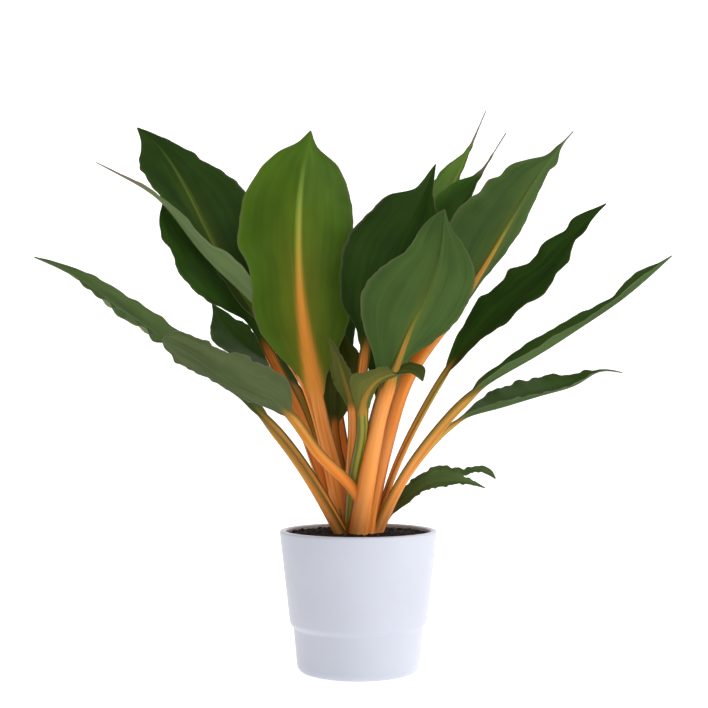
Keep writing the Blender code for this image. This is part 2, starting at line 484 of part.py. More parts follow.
def make_stalks(material):
    """The crown with every petiole and midrib, joined by one union."""
    base = HOLE_FLOOR + GAP
    profile = [(0.0, base), (CROWN_RADIUS, base), (CROWN_RADIUS, CROWN_TOP - CROWN_BEVEL),
               (CROWN_RADIUS - CROWN_BEVEL, CROWN_TOP), (0.0, CROWN_TOP)]
    crown = turned("stalks", profile, CROWN_SIDES, material)
    grown = bpy.data.collections.new("grown")
    for leaf in LEAVES:
        stalk = make_stalk(leaf, material)
        bpy.context.scene.collection.objects.unlink(stalk)
        grown.objects.link(stalk)
    union = crown.modifiers.new("join_petioles", "BOOLEAN")
    union.operation = "UNION"
    union.operand_type = "COLLECTION"
    union.collection = grown
    union.solver = "EXACT"
    bpy.context.view_layer.update()
    joined = bpy.data.meshes.new_from_object(crown.evaluated_get(bpy.context.evaluated_depsgraph_get()))
    crown.modifiers.clear()
    crown.data = joined
    for stalk in list(grown.objects):
        bpy.data.objects.remove(stalk)
    bpy.data.collections.remove(grown)
    return crown


def finish(name, colour, roughness):
    """A material of one colour, given as sRGB hex."""
    channels = [int(colour[i:i + 2], 16) / 255 for i in (1, 3, 5)]
    linear = [c / 12.92 if c <= 0.04045 else ((c + 0.055) / 1.055) ** 2.4 for c in channels]
    material = bpy.data.materials.new(name)
    material.use_nodes = True
    shader = material.node_tree.nodes["Principled BSDF"]
    shader.inputs["Base Color"].default_value = (*linear, 1.0)
    shader.inputs["Roughness"].default_value = roughness
    shader.inputs["Metallic"].default_value = 0.0
    return material


def main():
    """Clear the scene and make every piece."""
    for obj in list(bpy.data.objects):
        bpy.data.objects.remove(obj)
    make_pot(finish("white_plastic", "#DDE1EA", 0.45))
    make_soil(finish("potting_soil", "#1B1613", 0.95))
    make_stalks(finish("orange_petiole", "#E8883C", 0.4))
    green = finish("leaf_green", "#3A5220", 0.4)
    for leaf in LEAVES:
        make_blade(leaf, green)


main()
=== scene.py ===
"""Looks of the potted chlorophytum: its leaves with their orange petioles, the soil and the pot.

Metres, +Z up, the front towards -Y. Every leaf is one closed surface from its foot in the soil to its
tip: a thick channelled petiole that thins into the midrib, with the blade as thin wings on both sides.
"""
import logging
import math
from dataclasses import dataclass
from enum import Enum

import bpy
import numpy as np
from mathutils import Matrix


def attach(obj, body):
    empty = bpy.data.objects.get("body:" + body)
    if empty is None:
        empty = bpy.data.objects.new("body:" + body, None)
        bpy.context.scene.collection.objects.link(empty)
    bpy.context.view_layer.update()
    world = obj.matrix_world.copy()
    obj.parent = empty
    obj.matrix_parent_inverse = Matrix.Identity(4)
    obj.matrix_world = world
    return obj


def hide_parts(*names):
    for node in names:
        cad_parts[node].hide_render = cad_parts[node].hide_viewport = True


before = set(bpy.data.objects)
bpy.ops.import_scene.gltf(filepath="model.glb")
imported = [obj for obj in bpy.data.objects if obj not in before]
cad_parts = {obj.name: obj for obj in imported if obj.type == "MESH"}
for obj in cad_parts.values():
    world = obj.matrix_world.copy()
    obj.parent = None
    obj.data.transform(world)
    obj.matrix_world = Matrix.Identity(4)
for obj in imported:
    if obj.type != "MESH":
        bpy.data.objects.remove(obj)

MM = 0.001
TURN = 2 * math.pi
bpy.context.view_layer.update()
log = logging.getLogger("chlorophytum")

Array = np.ndarray
Material = bpy.types.Material
Object = bpy.types.Object
Socket = bpy.types.NodeSocket
Pair = tuple[float, float]
Triple = tuple[float, float, float]


def linear(colour: str) -> tuple[float, float, float, float]:
    """Turn an sRGB hex colour, "#rrggbb", to linear red, green and blue, with alpha 1."""
    channels = [int(colour[i:i + 2], 16) / 255 for i in (1, 3, 5)]
    return (*[c / 12.92 if c <= 0.04045 else ((c + 0.055) / 1.055) ** 2.4 for c in channels], 1.0)


class Look:
    """A material in the making, with short calls for the nodes that the finishes share."""

    def __init__(self, name: str) -> None:
        """Start the material with a Principled shader."""
        self.material = bpy.data.materials.new(name)
        self.material.use_nodes = True
        self.tree = self.material.node_tree
        self.shader = self.tree.nodes["Principled BSDF"]

    def fill(self, socket: Socket, value: object) -> None:
        """Link a socket to another, or set it to a number or to an sRGB hex colour."""
        if isinstance(value, Socket):
            self.tree.links.new(value, socket)
        else:
            socket.default_value = linear(value) if isinstance(value, str) else value

    def add(self, kind: str, output: int | str = 0, **settings: object) -> Socket:
        """Add a node with its settings and links.

        Args:
            kind: the node's type.
            output: which output to give back.
            settings: a node property, an input's name with _ for a space, or in and the input's number.

        Returns:
            The chosen output socket.
        """
        node = self.tree.nodes.new(kind)
        for name, value in settings.items():
            key = int(name[2:]) if name[2:].isdigit() else name.replace("_", " ")
            if isinstance(key, int) or key in node.inputs:
                self.fill(node.inputs[key], value)
            else:
                setattr(node, name, value)
        return node.outputs[output]

    def finish(self, **sockets: object) -> Material:
        """Fill the shader's sockets, named with _ for a space, and give the material."""
        for name, value in sockets.items():
            self.fill(self.shader.inputs[name.replace("_", " ")], value)
        return self.material

    def value(self, label: str) -> Socket:
        """Read one of the values that the piece carries for each point."""
        return self.add("ShaderNodeAttribute", "Fac", attribute_name=label)

    def mix(self, share: object, a: object, b: object) -> Socket:
        """Go from colour a to colour b by a share."""
        return self.add("ShaderNodeMix", 2, data_type="RGBA", in0=share, in6=a, in7=b)

    def ramp(self, share: object, *stops: tuple[float, str]) -> Socket:
        """Read a ramp of colours, each at its own place from 0 to 1, at a share."""
        colour = self.add("ShaderNodeValToRGB", "Color", Fac=share)
        elements = colour.node.color_ramp.elements
        for _ in stops[2:]:
            elements.new(0.5)
        for element, (position, tone) in zip(elements, stops):
            element.position, element.color = position, linear(tone)
        return colour

    def sums(self, kind: str, a: object, b: object = 0.0, clamp: bool = False) -> Socket:
        """Do a sum with one or two numbers; clamp keeps it from 0 to 1."""
        return self.add("ShaderNodeMath", operation=kind, in0=a, in1=b, use_clamp=clamp)

    def times(self, a: object, b: object) -> Socket:
        """Multiply two numbers."""
        return self.sums("MULTIPLY", a, b)

    def weighted(self, numbers: tuple[object, ...], weights: tuple[float, ...]) -> Socket:
        """Add numbers up, each times its weight."""
        *others, total = [self.times(number, weight) for number, weight in zip(numbers, weights)]
        for term in reversed(others):
            total = self.sums("ADD", term, total)
        return total

    def between(self, source: object, low: float, high: float) -> Socket:
        """Rise smoothly from 0 to 1 as a number goes from low to high."""
        return self.add("ShaderNodeMapRange", "Result", interpolation_type="SMOOTHSTEP", Value=source,
                        From_Min=low, From_Max=high)

    def place(self) -> Socket:
        """The place on the object, in metres."""
        return self.add("ShaderNodeTexCoord", "Object")

    def noise(self, place: object, scale: float, detail: float, rough: float = 0.5) -> Socket:
        """Cloudy noise around 0.5, with about scale grains to each unit of place."""
        return self.add("ShaderNodeTexNoise", "Fac", Vector=place, Scale=scale, Detail=detail,
                        Roughness=rough)

    def bump(self, height: object, strength: float, depth: float) -> Socket:
        """Tilt the surface as if a height of 1 stood depth metres high."""
        return self.add("ShaderNodeBump", "Normal", Height=height, Strength=strength, Distance=depth)


def smoothstep(low: float, high: float, value: Array) -> Array:
    """Rise from 0 at low to 1 at high with level ends: 3k^2 - 2k^3."""
    share = np.clip((value - low) / (high - low), 0.0, 1.0)
    return share * share * (3.0 - 2.0 * share)


def unit(vectors: Array) -> Array:
    """Scale vectors to length 1."""
    return vectors / np.linalg.norm(vectors, axis=-1, keepdims=True)


def through(places: Array, values: tuple[float, ...]) -> Array:
    """Run a smooth line through values at even steps from 0 to 1, without overshoot.

    It is a row of cubics whose slopes are the harmonic mean of the neighbouring steps, and level
    where the steps turn.

    Args:
        places: where to read the line.
        values: the values.

    Returns:
        The line's height at each place.
    """
    knots = np.array(values, float)
    step = np.diff(knots)
    product = step[1:] * step[:-1]
    never_zero = step[1:] + step[:-1] + 1e-12
    slope = np.r_[step[0], np.where(product > 0, 2 * product / never_zero, 0.0), step[-1]]
    at = np.clip(places, 0.0, 1.0) * (len(knots) - 1)
    i = np.minimum(at.astype(int), len(knots) - 2)
    k = at - i
    return ((2 * k**3 - 3 * k**2 + 1) * knots[i] + (k**3 - 2 * k**2 + k) * slope[i]
            + (3 * k**2 - 2 * k**3) * knots[i + 1] + (k**3 - k**2) * slope[i + 1])


def strip(first: Array, second: Array) -> Array:
    """Faces between two rows or grids of point numbers, along their last axis."""
    quads = np.stack([first[..., :-1], second[..., :-1], second[..., 1:], first[..., 1:]], axis=-1)
    return quads.reshape(-1, 4)


def add_object(name: str, data: bpy.types.ID) -> Object:
    """Make an object of its data and put it in the scene."""
    obj = bpy.data.objects.new(name, data)
    bpy.context.scene.collection.objects.link(obj)
    return obj


def piece(name: str, points: Array, faces: Array, material: Material,
          attributes: dict[str, Array] | None = None, sharp: float = 40.0) -> Object:
    """Make an object from whole arrays of points and faces.

    Args:
        name: the piece's name.
        points: places, any shape that ends in 3.
        faces: point numbers, one face a row.
        material: what it is made of.
        attributes: named values, one a point.
        sharp: angle in degrees past which an edge stays sharp.

    Returns:
        The new object.
    """
    mesh = bpy.data.meshes.new(name)
    mesh.from_pydata(points.reshape(-1, 3), [], faces)
    mesh.validate()
    for label, values in (attributes or {}).items():
        layer = mesh.attributes.new(label, "FLOAT", "POINT")
        layer.data.foreach_set("value", np.ascontiguousarray(values, np.float32).ravel())
    mesh.materials.append(material)
    mesh.shade_smooth()
    mesh.set_sharp_from_angle(angle=math.radians(sharp))
    return add_object(name, mesh)


@dataclass(frozen=True)
class LeafFinish:
    """Fresh leaf tissue: waxy, with fine veins that run lengthwise, and paler on its underside.

    The piece carries these values for each point: upper is 1 on the upper side, fan is the place across
    from -1 to 1, run the distance along in metres, warm how much of the petiole's and the midrib's
    orange shows, ripe how far that has turned from green to orange, halo how yellow the green beside the
    midrib is, stem 1 on the petiole, rim 1 where the tip is dry and less on a thin paler line along the
    edge, green how green the petiole is, and seed a number of the leaf's own.
    """

    upper: tuple[str, str]  # deep and light green of the upper side
    under: tuple[str, str]  # the same of the underside
    edge: str = "#6f6550"  # thin paler line along the edge, and the dry end of a drawn-out tip
    margin: str = "#76581c"  # thin brown margin of the petiole
    ripening: str = "#77731c"  # yellowing green around the midrib
    rib_tip: str = "#80983c"  # midrib near the tip
    rib_middle: str = "#b29a3a"
    rib_base: str = "#de8e38"  # midrib next to the petiole
    petiole: tuple[str, str] = ("#d87826", "#ee9a4c")  # its orange, and its lighter streaks
    petiole_pale: str = "#f2ab6c"  # its salmon patches
    petiole_dark: str = "#8c5218"  # its brown sides
    petiole_green: tuple[str, str] = ("#505c16", "#96903c")  # its colour and streaks where it stays green
    roughness: float = 0.38
    gloss: float = 0.14
    refraction: float = 1.42
    relief: float = 0.25 * MM

    # Sizes of noise: grains to the half width, grains to the metre along the leaf, and detail.
    VEINS = (44.0, 10.0, 2.0)  # a vein every 0.9 mm or so
    BANDS = (6.0, 8.0, 1.0)
    PATCHES = (1.3, 14.0, 2.0)
    STREAKS = (3.0, 4.0, 1.0)
    SALMON = (0.8, 12.0, 1.0)
    BROWN = (6.0, 5.0, 1.0)
    # How much the veins, the bands and the patches count.
    IN_TONE = (0.22, 0.23, 0.55)
    IN_RELIEF = (0.35, 0.8, 5.0)

    @staticmethod
    def grain(look: Look, across: float, along: float, detail: float) -> Socket:
        """Noise drawn out along the leaf, of one of the sizes above."""
        place = look.add("ShaderNodeCombineXYZ", X=look.times(look.value("fan"), across),
                         Y=look.times(look.value("run"), along), Z=look.value("seed"))
        return look.noise(place, 1.0, detail, 0.6)

    def material(self, name: str) -> Material:
        """Build the material: the blade's green, and over it the petiole's and the midrib's orange.

        The orange's soft edge, warm times 1 - warm, frays along the veins.

        Args:
            name: the material's name.

        Returns:
            The material.
        """
        look = Look(name)
        textures = tuple(self.grain(look, *size) for size in (self.VEINS, self.BANDS, self.PATCHES))
        veins, _, patches = textures
        tone = look.between(look.weighted(textures, self.IN_TONE), 0.32, 0.68)
        under, upper = look.mix(tone, *self.under), look.mix(tone, *self.upper)
        stem = look.value("stem")
        body = look.mix(stem, look.mix(look.value("upper"), under, upper), self.margin)
        body = look.mix(look.times(look.value("halo"), 0.55), body, self.ripening)
        rib = look.ramp(look.value("ripe"), (0.0, self.rib_tip), (0.5, self.rib_middle),
                        (1.0, self.rib_base))
        warm = look.value("warm")
        soft_edge = look.times(look.times(warm, look.sums("SUBTRACT", 1.0, warm)), 3.2)
        frayed = look.times(soft_edge, look.sums("SUBTRACT", veins, 0.5))
        colour = look.mix(look.sums("ADD", warm, frayed, clamp=True), body,
                          look.mix(stem, rib, self.petiole_colour(look)))
        return look.finish(
            Base_Color=look.mix(look.value("rim"), colour, self.edge),
            Roughness=look.sums("ADD", look.times(patches, 0.2), self.roughness),
            Normal=look.bump(look.weighted(textures, self.IN_RELIEF), 0.3, self.relief),
            IOR=self.refraction, Specular_IOR_Level=self.gloss)

    def petiole_colour(self, look: Look) -> Socket:
        """Streaked orange with salmon patches, brown scratches and brown sides, or green."""
        streaks = look.between(self.grain(look, *self.STREAKS), 0.3, 0.7)
        salmon = look.between(self.grain(look, *self.SALMON), 0.42, 0.62)
        scratches = look.between(self.grain(look, *self.BROWN), 0.6, 0.74)
        lopsided = look.sums("ADD", look.times(look.value("fan"), 0.9), 0.1)
        sides = look.sums("POWER", look.sums("ABSOLUTE", lopsided), 8.0)
        orange = look.mix(streaks, *self.petiole)
        for where, share, colour in (
                (salmon, 0.35, self.petiole_pale), (scratches, 0.3, self.petiole_dark),
                (sides, 0.75, self.petiole_dark)):
            orange = look.mix(look.times(where, share), orange, colour)
        return look.mix(look.value("green"), orange, look.mix(streaks, *self.petiole_green))


class Tissue(Enum):
    """What kind of blade a leaf has."""

    # Deep waxed green with a grey-green underside.
    DARK = LeafFinish(("#1b2f07", "#29430f"), ("#3b4726", "#4f5b37"), gloss=0.1)
    # The same with painted light on its upper side, lighter to make up for the shade that other leaves cast
    # on it.
    DEEP = LeafFinish(("#253e0c", "#365816"), ("#3b4726", "#4f5b37"), gloss=0.1)
    # Yellowish green of the tall leaf at the front, lightened on both sides with painted light shining
    # through it.
    BRIGHT = LeafFinish(("#2a4310", "#3c5a17"), ("#36500a", "#48670f"), margin="#7d6a1e")
    # Middle green with little shine.
    DULL = LeafFinish(("#2a4213", "#38521c"), ("#2f441a", "#415826"), gloss=0.12)
    # Light green.
    YOUNG = LeafFinish(("#3f5c1a", "#587528"), ("#506428", "#667a38"))
    # Brownish green of the small inner leaves.
    OLIVE = LeafFinish(("#303a0c", "#48511b"), ("#464c1a", "#5e6228"))
    # Greyish green of leaves that show their underside.
    LOW = LeafFinish(("#34481f", "#4c6030"), ("#4a5f2f", "#647846"))


def oval(width: float) -> tuple[float, ...]:
    """Half widths of a plain blade in mm, from its base to its tip, for a widest half width."""
    shares = (0.12, 0.3, 0.56, 0.8, 0.94, 1.0, 0.97, 0.85, 0.62, 0.3, 0.02)
    return tuple(width * share for share in shares)


@dataclass(frozen=True)
class LeafGrid:
    """A leaf's rows along its route and lines across them.

    The arrays are a column with one value a row, a line with one value a line across, or both.
    """

    number: int  # which leaf it is, for its own phase
    share: Array  # column: share of the route
    foot: Array  # column: share of the petiole, 1 all along the blade
    t: Array  # column: share of the blade, below 0 on the petiole
    stem: Array  # column: 1 on the petiole, 0 on the blade
    rib: Array  # column: half width of the petiole's body and of the midrib
    rib_part: Array  # line: 0 at the keel, 1 at the rib's edge and beyond
    wing_part: Array  # line: 0 up to the rib's edge, 1 at the leaf's edge
    side: Array  # line: -1 on the left, 0 at the keel, 1 on the right
    half: Array  # both: half width of the leaf on that side

    @property
    def distance(self) -> Array:
        """Distance from the keel along the row."""
        return self.rib * self.rib_part + (self.half - self.rib) * self.wing_part


@dataclass(frozen=True)
class Leaf:
    """One leaf: its petiole, midrib and blade in one surface."""

    place: str  # where it stands; its CAD blade is blade_ and this
    route: tuple[Triple, ...]  # keel line from the crown to the tip, mm
    blade_from: float  # share of the route at which the blade starts
    left: tuple[float, ...]  # half widths in mm at even steps from base to tip, left side
    right: tuple[float, ...]  # the same on the right, seen with the upper side in front and the tip up
    stalk: float  # width of the petiole near its foot, mm
    faces: Triple  # compass of the upper side at foot, middle and tip, degrees from +X
    tissue: Tissue = Tissue.DARK
    twist: float = 0.0  # how far the blade turns over towards its tip, degrees
    rise: float = 35.0  # how far up the upper side is turned, degrees
    fold: float = 12.0  # how steeply each half leaves the midrib, degrees
    waves: float = 4.0  # waves along each edge
    wave: float = 1.2  # their height in mm
    crimp: float = 0.3  # how deep the edge's small scallops are, mm
    crumple: float = 0.0  # how high the crumpled folds on its left side are, mm
    glow: float = 0.12  # how broad the orange is around the midrib
    rib: float = 0.0  # how much of the midrib's own colour shows
    rib_to: float = 0.96  # share of the blade at which the midrib has faded
    orange: float = 1.0  # how far up the orange goes
    green: float = 0.0  # how green the petiole is
    green_top: float = 0.0  # how green it gets next to the blade
    dry: float = 2.0  # share of the blade from which its drawn-out tip is dry

    ROWS = 130
    RIB_LINES = 15
    WING_LINES = 15
    LINE_POINTS = 400
    ROOT_DEPTH = 0.012
    THICKNESS = 0.0005
    CHANNEL = 50.0  # how steep the petiole's channel gets, degrees
    RIB_END = 0.0003  # half width of the midrib at the tip

    def line(self) -> tuple[Array, Array]:
        """Close points on a natural cubic spline through the route, and their distances along it."""
        points = np.array(self.route) * MM
        steps = np.diff(points, axis=0)
        spans = np.linalg.norm(steps, axis=1)
        knots = np.r_[0.0, np.cumsum(spans)]
        system = np.diag(np.r_[1.0, 2 * (spans[:-1] + spans[1:]), 1.0])
        system += np.diag(np.r_[spans[:-1], 0.0], -1) + np.diag(np.r_[0.0, spans[1:]], 1)
        pull = np.zeros_like(points)
        pull[1:-1] = 6 * np.diff(steps / spans[:, None], axis=0)
        bends = np.linalg.solve(system, pull)
        at = np.linspace(0.0, knots[-1], self.LINE_POINTS)
        i = np.clip(np.searchsorted(knots, at, side="right") - 1, 0, len(spans) - 1)
        span = spans[i][:, None]
        start = (knots[i + 1] - at)[:, None] / span
        end = 1.0 - start
        line = start * points[i] + end * points[i + 1]
        line += ((start**3 - start) * bends[i] + (end**3 - end) * bends[i + 1]) * span**2 / 6
        return line, np.r_[0.0, np.cumsum(np.linalg.norm(np.diff(line, axis=0), axis=1))]

    def frames(self, grid: LeafGrid) -> tuple[Array, Array, Array, float]:
        """Lay the rows on the route.

        Args:
            grid: the rows.

        Returns:
            Their keel points, their directions across and out of the upper side, the route's length.
        """
        line, run = self.line()
        length, run = run[-1], run / run[-1]
        keel, along = (np.stack([np.interp(grid.share, run, way[:, axis]) for axis in range(3)], axis=-1)
                       for way in (line, np.gradient(line, run, axis=0)))
        turns = np.polyfit((0.0, (1.0 + self.blade_from) / 2, 1.0), self.faces, 2)
        compass = np.radians(np.polyval(turns, grid.share) + self.twist * smoothstep(0.4, 0.8, grid.t))
        rise = math.radians(self.rise)
        upper = np.stack([np.cos(compass) * math.cos(rise), np.sin(compass) * math.cos(rise),
                          np.full_like(compass, math.sin(rise))], axis=-1)
        across = unit(np.cross(along, upper))
        return keel, across, np.cross(across, unit(along)), length

    def grid(self, number: int) -> LeafGrid:
        """Lay out the rows, closer at both ends, and the lines.

        The petiole's half width falls from 1.25 to 0.8 of the stalk's half as foot^0.7, and the midrib
        narrows from there as (1 - t)^3.2. The petiole's thin margin grows from 0.5 mm to 1.3 mm at the
        blade. The blade's half widths are the listed lines plus scallops, 11 and 18 to the blade.

        Args:
            number: which leaf it is.

        Returns:
            The grid.
        """
        even = np.linspace(0.0, 1.0, self.ROWS)[:, None]
        share = 0.9 * even + 0.1 * (1.0 - np.cos(math.pi * even)) / 2
        t = (share - self.blade_from) / (1.0 - self.blade_from)
        foot = np.clip(share / self.blade_from, 0.0, 1.0)
        body = self.stalk / 2 * MM * (1.25 - 0.45 * foot**0.7)
        taper = 1.0 - np.clip(t, 0.0, 1.0)
        rib = np.where(t > 0, self.RIB_END + (body - self.RIB_END) * taper**3.2, body)
        margin = (0.0005 + 0.0008 * smoothstep(-0.6, 0.0, t)) * taper**2
        scallops = self.crimp * MM * smoothstep(0.1, 0.3, t) * (1.0 - smoothstep(0.8, 0.95, t))
        halves = []
        for widths, phase in ((self.left, number * 0.37), (self.right, number * 0.61)):
            scalloped = np.sin(TURN * (11 * t + phase)) + 0.7 * np.sin(TURN * (18 * t + 2 * phase))
            blade = (through(t, widths) * MM + scallops * scalloped) * smoothstep(-0.05, 0.06, t)
            halves.append(np.maximum(blade, rib + margin))
        u = np.linspace(-1.0, 1.0, self.RIB_LINES)
        wing = np.linspace(0.0, 1.0, self.WING_LINES + 1)[1:]
        ones = np.ones(self.WING_LINES)
        side = np.r_[-ones, np.sign(u), ones]
        return LeafGrid(
            number=number, share=share, foot=foot, t=t, stem=1.0 - smoothstep(-0.06, 0.10, t), rib=rib,
            rib_part=np.abs(np.r_[ones, u, ones]), wing_part=np.r_[wing[::-1], 0.0 * u, wing],
            side=side, half=np.where(side < 0, *halves))

    def section(self, grid: LeafGrid) -> tuple[Array, Array]:
        """Unroll each row from the keel outwards, with its waves and folds.

        The slope grows from level at the keel to the channel's or the fold's at the midrib's edge. The
        place across is the sum of its cosines and the height the sum of its sines. The waves are two
        sines along the blade, grown by the square of the place across, and the crumpled folds two
        sines askew to it, on the left side of its outer half.

        Args:
            grid: rows and lines.

        Returns:
            Place across and height.
        """
        steep = np.radians(self.fold + (self.CHANNEL - self.fold) * grid.stem)
        angle = steep * grid.rib_part * grid.side
        step = np.diff(grid.distance * grid.side, axis=1)
        slope = (angle[:, 1:] + angle[:, :-1]) / 2
        sums = (np.pad(np.cumsum(step * part, axis=1), ((0, 0), (1, 0)))
                for part in (np.cos(slope), np.sin(slope)))
        keel = len(grid.side) // 2
        x, height = (total - total[:, keel:keel + 1] for total in sums)
        own = grid.number * 0.38
        phase = own + np.where(grid.side > 0, 0.37, 0.0)
        waved = np.sin(TURN * (self.waves * grid.t + phase))
        waved += 0.35 * np.sin(TURN * (self.waves * 2.3 * grid.t + own + phase))
        widest = max(*self.left, *self.right) * MM
        waves = self.wave * MM * waved * grid.wing_part**2 * grid.half / widest
        folded = np.sin(TURN * (7.0 * grid.t + 1.3 * grid.wing_part))
        folded += 0.7 * np.sin(TURN * (13.0 * grid.t - 1.9 * grid.wing_part))
        outer = smoothstep(0.3, 0.45, grid.t) * (1.0 - smoothstep(0.75, 0.9, grid.t)) * (grid.side < 0)
        raised = waves * smoothstep(0.0, 0.15, grid.t) + self.crumple * MM * folded * outer * grid.wing_part
        return x, height + raised

    def values(self, grid: LeafGrid, length: float) -> dict[str, Array]:
        """Values that the tissue reads; LeafFinish says what they are.

        The halo and the orange fade from the keel as exp(-(distance / reach)^2), and the thin paler line
        from the edge as exp(-distance / reach).

        Args:
            grid: rows and lines.
            length: the route's length.

        Returns:
            The values by name.
        """
        t, stem, distance = grid.t, grid.stem, grid.distance
        halo_reach = (4.0 + 26.0 * self.glow) * MM
        halo = np.exp(-(distance / halo_reach)**2) * (1.0 - smoothstep(0.3, 0.9, t))
        glow = self.glow * (0.2 + 10.0 * np.exp(-np.clip(t, 0.0, 1.0) / 0.4)) * MM
        core = grid.rib * (0.9 - 0.6 * (1.0 - self.rib) * (1.0 - stem))
        beyond = np.clip(distance - core, 0.0, None)
        haze = np.exp(-(beyond / (glow * (1.0 - 0.9 * stem) + 0.0002))**2)
        shown = (1.0 - smoothstep(self.rib_to - 0.3, self.rib_to, t)) * (self.rib + (1.0 - self.rib) * stem)
        # A thin paler line along the edge.
        dry_line = 0.35 * np.exp(-(grid.half - distance) / (0.3 * MM)) * (1.0 - stem)
        return {
            "fan": distance * grid.side / np.maximum(grid.half, grid.rib),
            "run": grid.share * length,
            "warm": haze * shown,
            "halo": halo * self.rib * (1.0 - stem),
            "ripe": 1.0 - smoothstep(0.3 * self.orange, 0.8 * self.orange, t),
            "stem": stem,
            "rim": np.maximum(dry_line, smoothstep(self.dry - 0.03, self.dry + 0.03, t)),
            "green": np.maximum(self.green, self.green_top * smoothstep(-0.55, 0.0, t)),
        }

    def build(self, number: int, material: Material) -> Object:
        """Build the leaf on its grid.

        The underside lies a leaf's thickness below the upper side, and under the rib it bulges down by
        the rib's depth times the root of 1 - rib_part^2. Both get one more row down in the soil.

        Args:
            number: which leaf it is, for its own phase and grain.
            material: its tissue.

        Returns:
            The piece.
        """
        grid = self.grid(number)
        keel, across, out, length = self.frames(grid)
        deep = grid.rib * (0.35 + 0.65 * grid.stem)
        x, height = self.section(grid)
        height = height + deep / 2 * (1.0 - grid.foot**2)
        surface = keel + across * x[..., None] + out * height[..., None]
        normal = unit(np.cross(np.gradient(surface, axis=1), np.gradient(surface, axis=0)))
        bulge = deep * np.sqrt(1.0 - grid.rib_part**2)
        below = surface - normal * self.THICKNESS - out * bulge[..., None]
        sides = np.stack([surface, below])
        points = np.concatenate([sides[:, :1] - np.array([0.0, 0.0, self.ROOT_DEPTH]), sides], axis=1)

        rows, lines = points.shape[1:3]
        top, under = np.arange(2 * rows * lines).reshape(2, rows, lines)
        faces = np.concatenate([
            strip(top[1:], top[:-1]), strip(under[:-1], under[1:]),
            strip(top[:1], under[:1]), strip(under[-1:], top[-1:]),
            strip(under[:, 0][None], top[:, 0][None]), strip(top[:, -1][None], under[:, -1][None]),
        ])
        attributes = {"upper": np.stack([np.ones((rows, lines)), np.zeros((rows, lines))]),
                      "seed": np.full((2, rows, lines), number * 3.7)}
        for label, values in self.values(grid, length).items():
            one_side = np.broadcast_to(values, x.shape)
            attributes[label] = np.stack([np.concatenate([one_side[:1], one_side])] * 2)
        return piece(f"leaf_{self.place}", points, faces, material, attributes)


